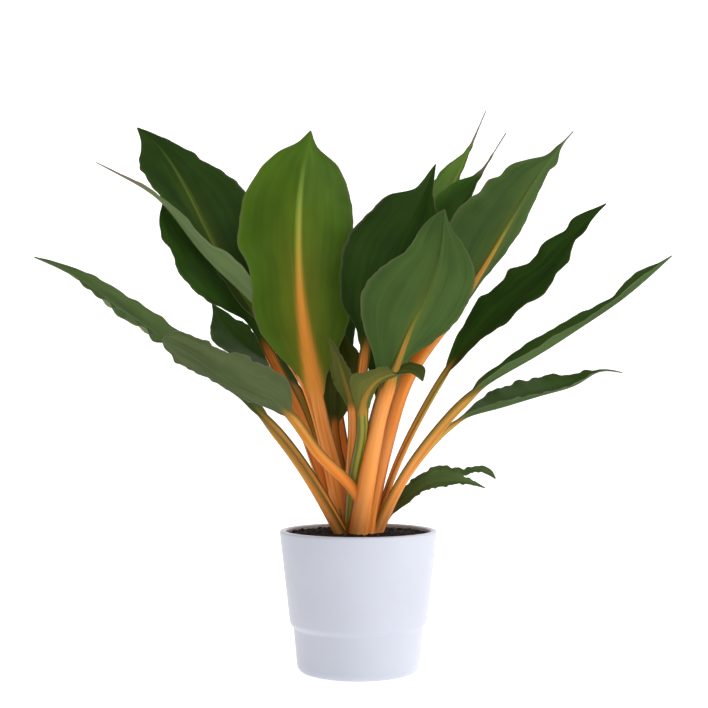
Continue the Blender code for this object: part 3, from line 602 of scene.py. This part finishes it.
LEAVES = (
    Leaf("front_tall",
         ((-10, 6, 111), (-21, 14, 162), (-31, 20, 202), (-38, 23, 236), (-49, 25, 306), (-51, 24, 358),
          (-49, 24, 405), (-41, 28, 453)),
         tissue=Tissue.BRIGHT, blade_from=0.31, stalk=12.5, faces=(80, 88, 95), fold=8, wave=2,
         glow=0.6, rib=1,
         left=(5, 8, 12, 20, 28, 35, 39, 40, 40, 41, 42, 44, 46, 47, 47, 45, 43, 38, 30, 8.5, 0.5),
         right=(5, 7, 10, 17, 26, 34, 40, 43, 43.5, 43, 44, 49, 54, 52, 51, 48, 41.5, 34, 24, 8.5, 0.5)),
    Leaf("back_left",
         ((-9, 14, 111), (-24, 36, 187), (-60, 62, 256), (-106, 84, 321), (-142, 96, 384), (-169, 103, 435),
          (-185, 106, 457), (-205, 108, 475)),
         blade_from=0.48, stalk=11, faces=(300, 280, 275), wave=1.4, crimp=0.7, rib=0.3, orange=0.1,
         left=(5, 7, 9, 10, 10, 11, 12, 14, 16, 18, 20, 21, 23, 28, 31, 32, 32, 29, 18.5, 8.5, 0.5),
         right=(5, 8, 12, 18, 24, 30, 36, 41, 45, 48, 50, 49, 45, 40, 33, 26.5, 21, 14.5, 9, 5, 0.5)),
    Leaf("left_edge",
         ((-16, 5, 111), (-31, 30, 187), (-63, 50, 270), (-96, 59, 311), (-140, 60, 354), (-178, 57, 400),
          (-208, 52, 418.5), (-230, 48, 430)),
         tissue=Tissue.LOW, blade_from=0.42, stalk=10, faces=(0, 0, 0), fold=35, wave=1.4, dry=0.8,
         left=(5, 8, 12, 18, 24, 27, 28, 28, 26, 23, 19, 16, 14, 11, 8, 6, 6, 3.5, 2.4, 1.6, 0.4),
         right=(4, 6, 8, 10, 12, 12, 12, 12, 11, 10, 9, 8, 7, 6, 5, 3, 3, 1.5, 1, 0.7, 0.4)),
    Leaf("left_dark",
         ((-11, 11, 111), (-35, 32, 162), (-52, 50, 207), (-80, 74, 264), (-111, 94, 322), (-141, 104, 353),
          (-167, 112, 384), (-182, 116, 405)),
         tissue=Tissue.DEEP, blade_from=0.5, stalk=11, faces=(300, 280, 275), green_top=0.3,
         left=(4, 4.5, 5, 6.5, 9, 18, 25, 32, 34, 37, 38, 37, 35.5, 31.5, 26.5, 23.5, 24.5, 20.5, 16, 9.5,
               0.5),
         right=(4, 5, 7, 9, 12, 15, 17, 19, 20, 21, 22, 22, 21, 20, 19, 17, 14, 11, 8, 6, 0.5)),
    Leaf("left_low_far",
         ((-15.5, -8, 111), (-37.5, -20, 152), (-69, -27, 198), (-107, -31, 236), (-148, -42, 266),
          (-188, -52, 293), (-225, -58, 318.5), (-254, -62, 332)),
         tissue=Tissue.LOW, blade_from=0.32, stalk=11.5, faces=(330, 290, 290), rise=60, crimp=0.5,
         crumple=1.8, green_top=0.6,
         left=(5, 8, 8, 10, 15, 18, 18.5, 18, 18, 17, 16.5, 14, 15.5, 16.5, 14, 8.5, 4, 1.6, 1, 0.8, 0.4),
         right=(5, 7, 9, 12, 16, 19, 20, 20, 19.5, 19, 20, 18.5, 17.5, 17, 17.5, 15, 12.5, 9, 7, 4.5, 0.4)),
    Leaf("left_low_near",
         ((4, -9, 111), (0, -17, 138), (-33, -32, 177), (-60, -46, 213), (-85, -58, 226), (-107, -68, 239),
          (-126, -76, 253), (-150, -82, 267)),
         blade_from=0.5, stalk=9.5, faces=(60, 80, 80), crimp=0.5, green_top=0.45,
         left=(4, 8, 15, 22, 26, 26, 27, 26, 26, 26, 27, 25, 20, 18.5, 17, 17.5, 15, 13.5, 13, 11, 1),
         right=(6, 7, 7, 8, 8.5, 9.5, 11, 11, 9, 9.5, 9.5, 10, 10, 12.5, 14.5, 15.5, 16, 16, 10.5, 9, 1)),
    Leaf("left_back_low",
         ((-6, 16, 111), (-22, 38, 160), (-38, 60, 189), (-51, 84, 222), (-67, 100, 247), (-92, 112, 263),
          (-117, 122, 283), (-137, 130, 313)),
         tissue=Tissue.DULL, blade_from=0.55, stalk=9, faces=(310, 300, 290), green=0.8,
         left=(4, 6, 8, 10, 12, 14, 16, 18, 20, 21, 22, 23, 24, 25.5, 27.5, 24.5, 19, 13, 7, 3, 0.4),
         right=(4, 5, 6, 7.5, 9, 10.5, 12, 13, 14, 15, 16, 16.5, 17, 18, 19, 18.5, 13, 10.5, 7.5, 4, 0.4)),
    Leaf("centre_dark",
         ((-3, 2, 111), (0, 6, 190), (7, 6, 269), (22, 5, 325), (36, 8, 357), (51, 12, 386), (66, 18, 422)),
         blade_from=0.46, stalk=9, faces=(270, 270, 270), wave=1,
         left=(3, 7, 10, 17, 27, 31, 34.5, 37, 39.5, 41, 41.5, 39.5, 36, 33, 31, 28, 18, 8, 5, 3, 0.4),
         right=(3, 6, 11, 17, 22, 26, 29, 31, 32, 32, 32, 31, 30, 28, 26, 22, 13.5, 8, 5, 2.5, 0.4)),
    Leaf("front_broad",
         ((0.5, -14, 111), (6, -24, 145), (11.5, -31, 178), (22, -37, 224), (32, -41, 252), (43, -46, 280),
          (57, -53, 311), (65, -56, 340), (68, -52, 371)),
         tissue=Tissue.DULL, blade_from=0.45, stalk=16, faces=(90, 95, 90), fold=10, wave=1, glow=0.04,
         rib=0.35, rib_to=0.5, orange=0.7,
         left=(3, 4, 5, 7, 9.5, 16, 22.5, 27, 31.5, 34.5, 36.5, 37.5, 37, 36, 34, 29, 23, 15, 7, 3, 0.5),
         right=(6, 12, 17, 22, 28, 35, 40, 45, 47.5, 47.5, 46, 44, 40.5, 36, 30, 25.5, 23, 20, 16.5, 10.5,
                0.5)),
    Leaf("front_small",
         ((-6, -4, 111), (-4.5, -9, 140), (-0.7, -22, 170), (3.5, -37, 200), (4.3, -46, 220),
          (8.2, -52, 228), (14.3, -60, 234.9), (23.4, -69, 239.3), (33.9, -77, 242.1), (42.9, -82, 241.1),
          (48.8, -84, 234.2)),
         tissue=Tissue.OLIVE, blade_from=0.57, stalk=10, faces=(90, 90, 80), twist=-165, wave=1, rib=0.3,
         green=1,
         left=(5.5, 6, 6, 5, 4, 3.5, 3.5, 6, 8, 8, 0.5),
         right=(5.5, 7, 13, 18, 12, 9, 7, 5, 3.5, 3, 0.5)),
    Leaf("centre_young",
         ((-5, -2, 111), (-7, 0, 163), (-5, -2, 205), (-7, -3, 222), (-12, -4, 239), (-17, -6, 255),
          (-25, -8, 273)),
         tissue=Tissue.OLIVE, blade_from=0.62, stalk=7, faces=(90, 90, 90), wave=0.8, rib=0.2,
         left=(3, 5, 6, 7, 8, 7, 5, 4, 3, 2, 0.4),
         right=(3, 5, 7, 9, 10, 10, 9, 6, 4, 2, 0.4)),
    Leaf("centre_olive",
         ((-8, 9, 111), (-13, 22, 155), (-20, 32, 200), (-18.5, 40, 228), (-16.5, 46, 254), (-16, 50, 285)),
         tissue=Tissue.OLIVE, blade_from=0.52, stalk=7, faces=(270, 270, 270), wave=1, green=0.3,
         left=(3, 6, 10, 12, 13, 13, 13, 12, 9, 5, 0.5),
         right=(4, 9, 14, 17, 19, 20, 20, 19, 13, 6, 0.5)),
    Leaf("top_light",
         ((6, 12, 111), (18, 26, 170), (34, 43, 238), (53, 60, 309), (74, 74, 388), (88, 80, 420),
          (102, 84, 451), (117, 88, 486)),
         tissue=Tissue.YOUNG, blade_from=0.5, stalk=10, faces=(300, 290, 290), rib=0.3, dry=0.82,
         left=(5, 7, 10, 13, 16, 18, 20, 21, 22, 22, 22, 21, 17, 15.5, 11, 6, 2.2, 1.2, 0.6, 0.4, 0.3),
         right=(5, 7, 10, 13, 15, 16, 16, 15, 14, 11, 8, 6.5, 3.5, 3, 2.4, 2, 1.4, 0.9, 0.5, 0.4, 0.3)),
    Leaf("top_dark",
         ((11, 6, 111), (22, 14, 171), (40, 26, 238), (62, 38, 307), (82, 50, 366), (96, 55, 398),
          (112, 60, 427), (132, 64, 460)),
         tissue=Tissue.DEEP, blade_from=0.5, stalk=10, faces=(250, 260, 260), dry=0.76,
         left=(5, 8, 12, 16, 19, 22, 24, 26, 27, 27, 27, 26, 24, 20, 13, 4.5, 1.6, 0.8, 0.5, 0.4, 0.3),
         right=(5, 8, 12, 15, 18, 19, 20, 19, 18, 15, 12, 8, 4, 2.6, 1.6, 1.4, 1.0, 0.8, 0.5, 0.4, 0.3)),
    Leaf("right_tall",
         ((7.5, -7, 111), (15.5, -8, 152), (26, -7, 194), (41.5, -5, 239), (76, 0, 289), (106, 4, 333),
          (123, 6, 362), (145, 10, 400), (166, 16, 430), (184, 22, 451)),
         tissue=Tissue.DULL, blade_from=0.49, stalk=15, faces=(100, 90, 90), fold=20, glow=0.05, rib=0.45,
         rib_to=0.62, orange=0.8, dry=0.93,
         left=(3, 3.5, 5, 5.5, 5.5, 7, 9, 11, 12.6, 13.6, 15.5, 14.4, 13.2, 12.2, 11.2, 9.5, 8, 10.5, 3,
               0.8, 0.4),
         right=(7, 13, 20, 27, 34, 39, 42, 44, 44, 43, 40, 35, 34, 27, 25, 18.5, 9, 3.5, 2, 0.7, 0.4)),
    Leaf("right_dark",
         ((14, -2, 111), (32, -4, 166), (52, -7, 208), (74, -10, 246), (97, -16, 277), (134, -22, 310),
          (159, -28, 334), (179, -32, 357), (200, -34, 379)),
         blade_from=0.43, stalk=6, faces=(180, 250, 260), waves=5, wave=1.6, crimp=0.25, green_top=0.9,
         left=(3, 5.5, 8.5, 11.5, 14.5, 16, 19, 20.5, 20, 19.5, 21.5, 19, 15, 16, 16.5, 14.5, 10.5, 12, 9,
               4.5, 0.4),
         right=(5, 7, 8, 9, 12, 15, 16.5, 18, 17.5, 16.5, 18.5, 19.5, 17.5, 13, 13, 7, 3, 4.5, 1.5, 0.6,
                0.4)),
    Leaf("right_long",
         ((16.5, -1, 111), (34.5, -13, 151), (66, -24, 198), (92, -31, 225.8), (138, -43, 254),
          (178, -52, 279.5), (205, -57, 298), (245, -62, 333)),
         tissue=Tissue.DULL, blade_from=0.42, stalk=10.5, faces=(180, 180, 180), fold=40, wave=0.7,
         green_top=0.6,
         left=(5, 9, 11, 12, 14, 15, 16, 17, 17, 16, 14.5, 13.5, 12, 11, 9, 10, 12.5, 13, 10, 4, 0.4),
         right=(5, 7, 9, 10, 11, 11, 11, 11, 11, 10, 8, 7, 7, 7, 6, 7, 9, 8, 5, 3, 0.4)),
    Leaf("right_low",
         ((16, 3, 111), (36, 6, 149), (61, 10, 183), (89, 15, 206), (114, 20, 213.3), (138, 24, 220),
          (166, 30, 227.8), (190, 34, 236), (207, 37, 245.5), (228, 40, 245)),
         tissue=Tissue.DULL, blade_from=0.42, stalk=6, faces=(180, 190, 200), fold=36, waves=6,
         wave=0.9, crimp=0.8, green_top=0.7,
         left=(4, 5, 9, 15, 21, 25, 26, 27, 28, 29, 26, 26.5, 23.5, 21, 16.5, 12.5, 9, 4, 2, 1.2, 0.4),
         right=(4, 5, 6, 7, 8, 9, 9, 8, 6, 5, 4, 3, 3, 3.5, 4, 4, 3, 2, 1.5, 1, 0.4)),
    Leaf("right_lowest_back",
         ((14, 13, 111), (24, 22, 125), (39, 30, 141), (56, 37, 154), (72, 43, 159), (90, 48, 158),
          (106, 52, 160), (120, 55, 153)),
         tissue=Tissue.LOW, blade_from=0.14, stalk=6, faces=(180, 230, 250), wave=1, crimp=0.6,
         left=(4, 6, 6, 6, 7, 6, 6, 7, 6, 6.5, 7.5, 8, 6, 5.5, 6, 4.5, 4.5, 4.5, 5, 4, 0.4),
         right=(4, 7, 9, 11, 12, 13, 14, 14, 14, 13, 12, 10, 8, 6, 4, 3, 2, 1.5, 1.5, 1, 0.4)),
    Leaf("right_lowest_front",
         ((17, 5, 111), (23, 7, 122), (38, 9, 136), (56, 12, 149), (73, 15, 153), (90, 18, 152),
          (107, 20, 147)),
         tissue=Tissue.LOW, blade_from=0.14, stalk=6, faces=(200, 240, 250), wave=1, crimp=0.5,
         left=(4, 6, 8, 10, 10, 10, 11, 12, 11.5, 11, 12, 14, 15, 14, 12, 9, 5, 4, 3, 1.5, 0.4),
         right=(2, 4, 4, 5, 6, 5, 4.5, 5, 5, 6.5, 6.5, 6, 7, 6, 4, 3, 2.5, 1.5, 1, 0.6, 0.4)),
    Leaf("back",
         ((-3, 16, 111), (-11, 50, 161), (-21, 90, 222), (-36, 130, 297), (-46, 160, 348), (-52, 185, 381)),
         blade_from=0.42, stalk=11, faces=(270, 270, 270), wave=2, rib=0.25,
         left=oval(35), right=oval(35)),
    Leaf("back_right",
         ((3, 16, 111), (12, 45, 169), (24, 80, 231), (39, 110, 287), (49, 135, 326), (55, 150, 352)),
         blade_from=0.42, stalk=11, faces=(270, 260, 260), wave=2, rib=0.25,
         left=oval(30), right=oval(30)),
    Leaf("back_far_right",
         ((9, 13, 111), (23, 40, 187), (46, 75, 257), (76, 105, 314), (96, 130, 349), (113, 150, 381)),
         blade_from=0.42, stalk=11, faces=(250, 240, 240), wave=2, rib=0.25,
         left=oval(32), right=oval(32)),
)


@dataclass(frozen=True)
class Foliage:
    """All the leaves."""

    leaves: tuple[Leaf, ...] = LEAVES

    def build(self) -> list[Object]:
        """Build every leaf in its tissue and let it stand for its blade and the petioles."""
        tissues = {tissue: tissue.value.material(f"leaf_tissue_{tissue.name.lower()}") for tissue in Tissue}
        pieces = []
        for number, leaf in enumerate(self.leaves):
            made = leaf.build(number, tissues[leaf.tissue])
            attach(made, "root")
            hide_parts(f"blade_{leaf.place}", "stalks")
            pieces.append(made)
        return pieces


def turned(profile: Array, sides: int) -> Array:
    """Turn a profile of radii and heights around Z: (r cos a, r sin a, z) at even angles a."""
    radius, height = np.transpose(profile)[..., None]
    angle = np.linspace(0.0, TURN, sides, endpoint=False)
    return np.stack(np.broadcast_arrays(radius * np.cos(angle), radius * np.sin(angle), height), axis=-1)


def ring_solid(name: str, rings: Array, ends: Pair, material: Material, sharp: float) -> Object:
    """Close a stack of rings around Z, with a fan of triangles at either end.

    Args:
        name: the piece's name.
        rings: places, rings by points round each, from below round the outside.
        ends: heights on the axis before the first ring and after the last.
        material: what it is made of.
        sharp: angle in degrees past which an edge stays sharp.

    Returns:
        The closed piece.
    """
    count, sides = rings.shape[:2]
    points = np.concatenate([rings.reshape(-1, 3), [(0.0, 0.0, height) for height in ends]])
    numbers = np.arange(count * sides).reshape(count, sides)
    numbers = np.concatenate([numbers, numbers[:, :1]], axis=1)
    quads = strip(numbers[1:], numbers[:-1])
    first, last = numbers[0], numbers[-1]
    middle = np.full(sides, count * sides)
    faces = np.concatenate([
        quads[:, [0, 1, 2]], quads[:, [0, 2, 3]],
        np.c_[middle, first[1:], first[:-1]], np.c_[middle + 1, last[:-1], last[1:]]])
    return piece(name, points, faces, material, sharp=sharp)


def rounded(corners: tuple[Triple, ...], steps: int) -> Array:
    """Round the corners of a profile: each becomes a quadratic curve between its two sides.

    Args:
        corners: radius, height and how far the rounding reaches along each side.
        steps: pieces in each curve.

    Returns:
        The profile's points, radius and height.
    """
    data = np.array(corners)
    points = [data[:1, :2]]
    k = np.linspace(0.0, 1.0, steps + 1)[:, None]
    for before, (r, z, size), after in zip(data[:-2, :2], data[1:-1], data[2:, :2]):
        here = np.array([r, z])
        start, end = (here + (other - here) * min(size / np.linalg.norm(other - here), 0.49)
                      for other in (before, after))
        points.append((1 - k)**2 * start + 2 * k * (1 - k) * here + k**2 * end)
    return np.concatenate(points + [data[-1:, :2]])


@dataclass(frozen=True)
class PotPlastic:
    """Polypropylene, injection moulded: white with a cool cast, a satin skin with a faint orange peel."""

    colour: str = "#c4c7d2"
    shade: str = "#bbbfcb"
    roughness: Pair = (0.32, 0.46)  # of its smoothest and of its most scuffed spots
    refraction: float = 1.49
    glow_through: float = 0.12  # share of light that scatters inside
    glow_depth: float = 3 * MM

    def material(self) -> Material:
        """Build the material: a slow drift of colour, a peel of about 1 mm and fine scuffs."""
        look = Look("pot_polypropylene")
        place = look.place()
        drift = look.noise(place, 22.0, 2.0)
        peel = look.noise(place, 900.0, 1.0)
        scuffs = look.noise(place, 160.0, 4.0)
        smooth, scuffed = self.roughness
        return look.finish(
            Base_Color=look.mix(drift, self.shade, self.colour),
            Roughness=look.add("ShaderNodeMapRange", "Result", Value=scuffs, To_Min=smooth, To_Max=scuffed),
            Normal=look.bump(peel, 0.12, 0.1 * MM), IOR=self.refraction,
            Subsurface_Weight=self.glow_through, Subsurface_Scale=self.glow_depth)


@dataclass(frozen=True)
class Pot:
    """The tapered pot with its rounded rim, its chamfered step low down and its recessed underside."""

    corners: tuple[Triple, ...] = (  # radius, height and how far the rounding reaches
        (0.0, 0.0012, 0.0), (0.0377, 0.0012, 0.001),  # recess of the underside
        (0.0392, 0.0, 0.0008), (0.05, 0.0, 0.0065),  # ring that it stands on
        (0.0532, 0.035, 0.0012), (0.0562, 0.039, 0.0014),  # chamfered step
        (0.065, 0.114, 0.0026), (0.0595, 0.114, 0.0026),  # rim
        (0.0595, 0.11, 0.0012), (0.0608, 0.106, 0.0012),  # slope under its lip, to the wall's inside
        (0.0534, 0.039, 0.001), (0.0504, 0.035, 0.001),  # the step inside
        (0.0469, 0.004, 0.002), (0.0, 0.004, 0.0))  # floor
    sides: int = 192
    curve_steps: int = 8

    def build(self, finish: PotPlastic) -> list[Object]:
        """Turn the pot's profile, with every corner softly rounded, and let it stand for its CAD node."""
        profile = rounded(self.corners, self.curve_steps)
        ends = profile[0, 1], profile[-1, 1]
        pot = ring_solid("pot_shell", turned(profile[1:-1], self.sides), ends, finish.material(), 60.0)
        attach(pot, "root")
        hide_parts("pot")
        return [pot]


@dataclass(frozen=True)
class PeatMix:
    """Potting soil: damp peat, nearly black, with bark fibres and a few pale grains."""

    deep: str = "#0d0a09"
    crumb: str = "#1c1512"
    bark: str = "#3c291d"
    pale: str = "#8d8374"
    roughness: float = 0.92
    gloss: float = 0.3
    relief: float = 0.6 * MM

    def material(self, name: str, loose: bool) -> Material:
        """Build the material; loose crumbs take their own tone from the attribute tone.

        Args:
            name: the material's name.
            loose: whether the piece carries the attribute tone.

        Returns:
            The material.
        """
        look = Look(name)
        grain = look.noise(look.place(), 650.0, 4.0, 0.7)
        colour = look.ramp(grain, (0.38, self.deep), (0.6, self.crumb), (0.74, self.bark))
        if loose:
            own = look.ramp(look.value("tone"), (0.0, self.deep), (0.6, self.crumb),
                            (0.9, self.bark), (0.975, self.pale))
            colour = look.mix(0.65, colour, own)
        return look.finish(Base_Color=colour, Normal=look.bump(grain, 0.8, self.relief),
                           Roughness=self.roughness, Specular_IOR_Level=self.gloss)


@dataclass(frozen=True)
class Soil:
    """The soil in the pot: its crumbly top and the loose bits that lie on it."""

    radius: float = 0.0588
    top: float = 0.1105
    mound: Pair = (0.0012, 0.03)  # its height and its reach
    wall: tuple[Pair, ...] = (  # radius and height, up the pot's inside
        (0.0463, 0.0046), (0.0498, 0.0352), (0.0526, 0.039), (0.0588, 0.108))
    lumps: tuple[tuple[float, float, int], ...] = (  # length, depth and count of each kind of wave
        (0.012, 0.0005, 5), (0.005, 0.0003, 7), (0.0024, 0.00022, 9), (0.0015, 0.00014, 9))
    rings: int = 90
    spokes: int = 260
    crumbs: int = 1500
    crumb_size: Pair = (0.0004, 0.0011)
    crumb_shape: Triple = (1.3, 0.9, 0.6)  # length, width and height for each unit of size
    big_crumbs: Pair = (0.93, 1.7)  # share of plain crumbs, and how many times bigger the rest are

    def heights(self, x: Array | float, y: Array | float) -> Array | float:
        """Height of the top: a low mound plus sines at random turns, each bent by a slower one across."""
        rng = np.random.default_rng(4)
        height = self.top + self.mound[0] * np.exp(-(x**2 + y**2) / self.mound[1]**2)
        for size, depth, count in self.lumps:
            for turn, phase in zip(rng.uniform(0, math.pi, count), rng.uniform(0, TURN, count)):
                way = x * math.cos(turn) + y * math.sin(turn)
                side = y * math.cos(turn) - x * math.sin(turn)
                bend = 1.4 * np.sin(TURN * side / (size * 1.7) + 2 * phase)
                height = height + depth / 2 * np.sin(TURN * way / size + phase + bend)
        return height

    def build(self, finish: PeatMix) -> list[Object]:
        """Build the soil and its crumbs, and let them stand for the CAD node."""
        pieces = [self.bed(finish), self.loose(finish)]
        for made in pieces:
            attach(made, "root")
            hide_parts("soil")
        return pieces

    def bed(self, finish: PeatMix) -> Object:
        """Build the body of soil: up the pot's inside, and over the top to its middle."""
        wall = turned(self.wall, self.spokes)
        radii = np.sqrt(np.linspace(1.0, 0.0, self.rings)[:-1]) * self.radius
        top = turned(np.stack([radii, 0.0 * radii], axis=-1), self.spokes)
        top[..., 2] = self.heights(top[..., 0], top[..., 1])
        ends = self.wall[0][1], self.heights(0.0, 0.0)
        return ring_solid("soil_bed", np.concatenate([wall, top]), ends,
                          finish.material("potting_peat", False), 80.0)

    def loose(self, finish: PeatMix) -> Object:
        """Scatter crumbs: each is an octahedron with its corners pushed in or out at random."""
        rng = np.random.default_rng(11)
        corners = np.kron(np.eye(3), [[1.0], [-1.0]])
        sides = np.array([(0, 2, 4), (2, 1, 4), (1, 3, 4), (3, 0, 4),
                          (2, 0, 5), (1, 2, 5), (3, 1, 5), (0, 3, 5)])
        count = self.crumbs
        r = np.sqrt(rng.uniform(0.02, 1.0, count)) * (self.radius - 0.0012)
        a = rng.uniform(0, TURN, count)
        x, y = r * np.cos(a), r * np.sin(a)
        plain, bigger = self.big_crumbs
        size = rng.uniform(*self.crumb_size, count) * np.where(rng.random(count) > plain, bigger, 1.0)
        stretch = rng.uniform(0.5, 1.5, (count, 1, 3)) * np.array(self.crumb_shape)
        shape = corners * rng.uniform(0.7, 1.2, (count, 6, 1)) * stretch * size[:, None, None]
        turn = rng.uniform(0, TURN, count)
        c, s = np.cos(turn)[:, None], np.sin(turn)[:, None]
        shape = np.stack([shape[..., 0] * c - shape[..., 1] * s, shape[..., 0] * s + shape[..., 1] * c,
                          shape[..., 2]], axis=-1)
        rest = self.heights(x, y) + size * 0.15
        points = shape + np.stack([x, y, rest], axis=-1)[:, None]
        faces = (sides[None] + 6 * np.arange(count)[:, None, None]).reshape(-1, 3)
        tones = {"tone": np.repeat(rng.random(count), 6)}
        return piece("soil_crumbs", points, faces, finish.material("potting_crumbs", True), tones, 20.0)


@dataclass(frozen=True)
class Studio:
    """Camera, floor and soft light."""

    eye: Triple = (-0.0036, -1.0, 0.209)
    tilt: float = 2.86  # how far the camera looks up, degrees
    lens: float = 61.29
    ambient: float = 0.4
    aim: Triple = (0.0, 0.0, 0.2)  # where the lamps point
    lamps: tuple[tuple[str, Triple, float, float], ...] = (  # name, place, side, watts
        ("softbox_front", (0.9, -1.5, 1.5), 1.6, 19.0),
        ("softbox_right", (1.7, -0.5, 0.9), 1.4, 13.0),
        ("softbox_back", (0.2, 1.5, 1.8), 1.8, 12.0),
    )
    floor_front: float = -4.0
    floor_bend: float = 2.4  # how far back the floor starts to rise, by a quarter round of 1 m
    floor_top: float = 5.0
    floor_side: float = 6.0
    floor_glow: float = 0.55
    floor_gap: float = 0.0002

    def build(self) -> None:
        """Set the camera at the photo's angle, the soft light and the floor."""
        scene = bpy.context.scene
        camera = add_object("camera", bpy.data.cameras.new("camera"))
        camera.location = self.eye
        camera.rotation_euler = (math.radians(90.0 + self.tilt), 0.0, 0.0)
        camera.data.lens = self.lens
        camera.data.clip_start = 0.01
        camera.data.clip_end = 50.0
        scene.camera = camera
        scene.view_settings.view_transform = "Standard"

        world = bpy.data.worlds.new("soft_studio")
        world.use_nodes = True
        background = world.node_tree.nodes["Background"]
        background.inputs["Color"].default_value = linear("#ffffff")
        background.inputs["Strength"].default_value = self.ambient
        scene.world = world
        for name, place, size, power in self.lamps:
            light = bpy.data.lights.new(name, "AREA")
            light.energy = power
            light.size = size
            lamp = add_object(name, light)
            lamp.location = place
            x, y, z = np.array(place) - np.array(self.aim)
            lamp.rotation_euler = (math.atan2(math.hypot(x, y), z), 0.0, math.atan2(y, x) + math.pi / 2)
        self.floor()
        log.info("studio set")

    def floor(self) -> None:
        """Lay the pale floor: matte paper that lights itself a little and sweeps up behind."""
        look = Look("pale_floor")
        cloud = look.noise(look.place(), 2.0, 1.0)
        material = look.finish(
            Base_Color=look.mix(cloud, "#f6f6f6", "#fafafa"), Roughness=0.9, Specular_IOR_Level=0.1,
            Emission_Color="#ffffff", Emission_Strength=self.floor_glow)
        side = np.linspace(-self.floor_side, self.floor_side, 13)
        bend = np.linspace(0.0, math.pi / 2, 9)[1:]
        flat = np.r_[self.floor_front, np.linspace(self.floor_front + 1.0, self.floor_bend, 10)]
        depth = np.r_[flat, self.floor_bend + np.sin(bend), self.floor_bend + 1.0]
        height = np.r_[0.0 * flat, 1.0 - np.cos(bend), self.floor_top] - self.floor_gap
        points = np.stack(np.broadcast_arrays(side[None], depth[:, None], height[:, None]), axis=-1)
        numbers = np.arange(points.size // 3).reshape(points.shape[:2])
        floor = piece("floor", points, strip(numbers[1:], numbers[:-1]), material)


def main() -> None:
    """Build the studio, the pot, the soil and the leaves, and report each piece."""
    logging.basicConfig(level=logging.INFO, format="%(message)s")
    Studio().build()
    for made in (*Pot().build(PotPlastic()), *Soil().build(PeatMix()), *Foliage().build()):
        log.info("%s: %d points", made.name, len(made.data.vertices))


if __name__ == "__main__":
    main()
